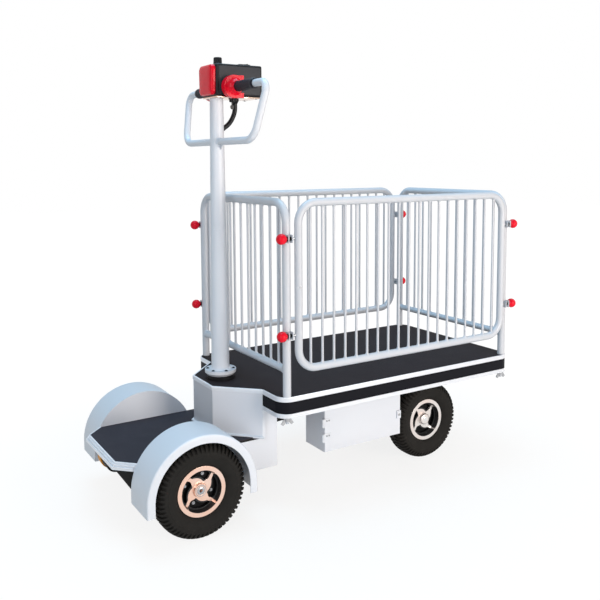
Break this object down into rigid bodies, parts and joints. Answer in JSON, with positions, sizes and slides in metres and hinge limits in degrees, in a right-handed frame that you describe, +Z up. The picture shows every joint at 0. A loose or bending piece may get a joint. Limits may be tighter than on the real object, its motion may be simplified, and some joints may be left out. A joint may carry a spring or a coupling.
{
  "type": "stand-on electric platform cart with a caged cargo deck",
  "caption": "Stand-on electric platform cart in white painted steel, with a barred cage round its cargo deck and a tall steering column with a bicycle-like handle",
  "frame": {"origin": "on the ground, under the middle of the outline's length and width", "axes": "+X forward to the cargo end, +Y to the left, +Z up"},
  "size_m": [1.4279, 0.6369, 1.381],
  "materials": {
    "painted_white": "gloss",
    "edge_aluminium": "satin",
    "mat_rubber": "matte",
    "tyre_rubber": "matte",
    "rim_cast": "satin",
    "red_plastic": "gloss",
    "black_plastic": "satin",
    "grip_rubber": "matte",
    "dark_steel": "satin",
    "zinc_steel": "satin",
    "plated_bell": "satin"
  },
  "bodies": {
    "chassis": {"batteries": "black_plastic", "battery_boxes": "painted_white", "bearing_seat": "dark_steel", "bolt_collars": "black_plastic", "bolt_knobs": "red_plastic", "chassis_box": "painted_white", "deck_band": "mat_rubber", "deck_edge_profile": "edge_aluminium", "deck_frame": "painted_white", "deck_mat": "mat_rubber", "drive_axle": "dark_steel", "drive_motor": "dark_steel", "end_panel_front": "painted_white", "end_panel_rear": "painted_white", "fender_left": "painted_white", "fender_right": "painted_white", "front_axle_beam": "dark_steel", "motor_end_bell": "plated_bell", "neck_box": "painted_white", "platform_mat": "mat_rubber", "platform_plate": "dark_steel", "platform_trim": "edge_aluminium", "rear_gussets": "dark_steel", "spring_bolts": "zinc_steel", "wing_nuts": "zinc_steel"},
    "steering": {"steering_shaft": "painted_white", "steering_column": "painted_white", "handle_loop": "painted_white", "handle_grips": "grip_rubber", "thumb_controls": "red_plastic", "control_box": "black_plastic", "control_base_plate": "zinc_steel", "stop_button": "red_plastic", "speed_knob": "black_plastic", "power_switch": "black_plastic", "key_switch": "zinc_steel", "control_conduit": "black_plastic"},
    "rear_wheel_left": {"rear_tyre_left": "tyre_rubber", "rear_rim_left": "rim_cast"},
    "rear_wheel_right": {"rear_tyre_right": "tyre_rubber", "rear_rim_right": "rim_cast"},
    "front_wheel_left": {"front_tyre_left": "tyre_rubber", "front_rim_left": "rim_cast"},
    "front_wheel_right": {"front_tyre_right": "tyre_rubber", "front_rim_right": "rim_cast"},
    "knuckle_body_left": {"knuckle_left": "dark_steel"},
    "knuckle_body_right": {"knuckle_right": "dark_steel"},
    "tie_rod_body": {"tie_rod": "dark_steel"},
    "drag_link_body": {"drag_link": "dark_steel"},
    "door_left": {"battery_door_left": "painted_white"},
    "door_right": {"battery_door_right": "painted_white"},
    "gate_left": {"side_gate_left": "painted_white"},
    "gate_right": {"side_gate_right": "painted_white"}
  },
  "joints": [
    {"name": "steering_turn", "type": "hinge", "parent": "chassis", "child": "steering", "pos_m": [-0.308, 0, 0.395], "axis": [0, 0, 1], "range_deg": [-30, 30]},
    {"name": "rear_wheel_left_spin", "type": "hinge", "parent": "chassis", "child": "rear_wheel_left", "pos_m": [-0.505, 0.252, 0.137], "axis": [0, 1, 0], "continuous": true},
    {"name": "knuckle_left_turn", "type": "hinge", "parent": "chassis", "child": "knuckle_body_left", "pos_m": [0.415, 0.08, 0.137], "axis": [0, 0, 1], "range_deg": [-30, 30]},
    {"name": "front_wheel_left_spin", "type": "hinge", "parent": "knuckle_body_left", "child": "front_wheel_left", "pos_m": [0.415, 0.148, 0.137], "axis": [0, 1, 0], "continuous": true},
    {"name": "rear_wheel_right_spin", "type": "hinge", "parent": "chassis", "child": "rear_wheel_right", "pos_m": [-0.505, -0.252, 0.137], "axis": [0, 1, 0], "continuous": true},
    {"name": "knuckle_right_turn", "type": "hinge", "parent": "chassis", "child": "knuckle_body_right", "pos_m": [0.415, -0.08, 0.137], "axis": [0, 0, 1], "range_deg": [-30, 30]},
    {"name": "front_wheel_right_spin", "type": "hinge", "parent": "knuckle_body_right", "child": "front_wheel_right", "pos_m": [0.415, -0.148, 0.137], "axis": [0, 1, 0], "continuous": true},
    {"name": "tie_rod_pivot", "type": "hinge", "parent": "knuckle_body_right", "child": "tie_rod_body", "pos_m": [0.345, -0.08, 0.1694], "axis": [0, 0, 1], "range_deg": [-30, 30]},
    {"name": "drag_link_pivot", "type": "hinge", "parent": "steering", "child": "drag_link_body", "pos_m": [-0.308, -0.04, 0.19], "axis": [0, 0, 1], "range_deg": [-30, 30]},
    {"name": "battery_door_left_swing", "type": "hinge", "parent": "chassis", "child": "door_left", "pos_m": [-0.061, 0.226, 0.215], "axis": [0, 0, -1], "range_deg": [-100, 0]},
    {"name": "battery_door_right_swing", "type": "hinge", "parent": "chassis", "child": "door_right", "pos_m": [-0.061, -0.226, 0.215], "axis": [0, 0, 1], "range_deg": [-100, 0]},
    {"name": "gate_left_swing", "type": "hinge", "parent": "chassis", "child": "gate_left", "pos_m": [0.2215, 0.3025, 0.55], "axis": [-1, 0, 0], "range_deg": [0, 170]},
    {"name": "gate_right_swing", "type": "hinge", "parent": "chassis", "child": "gate_right", "pos_m": [0.2215, -0.3025, 0.55], "axis": [1, 0, 0], "range_deg": [0, 170]}
  ],
  "couplings": [
    {"joint": "knuckle_left_turn", "follows": "steering_turn", "ratio": 1},
    {"joint": "knuckle_right_turn", "follows": "steering_turn", "ratio": 1},
    {"joint": "tie_rod_pivot", "follows": "steering_turn", "ratio": -1},
    {"joint": "drag_link_pivot", "follows": "steering_turn", "ratio": -1}
  ]
}
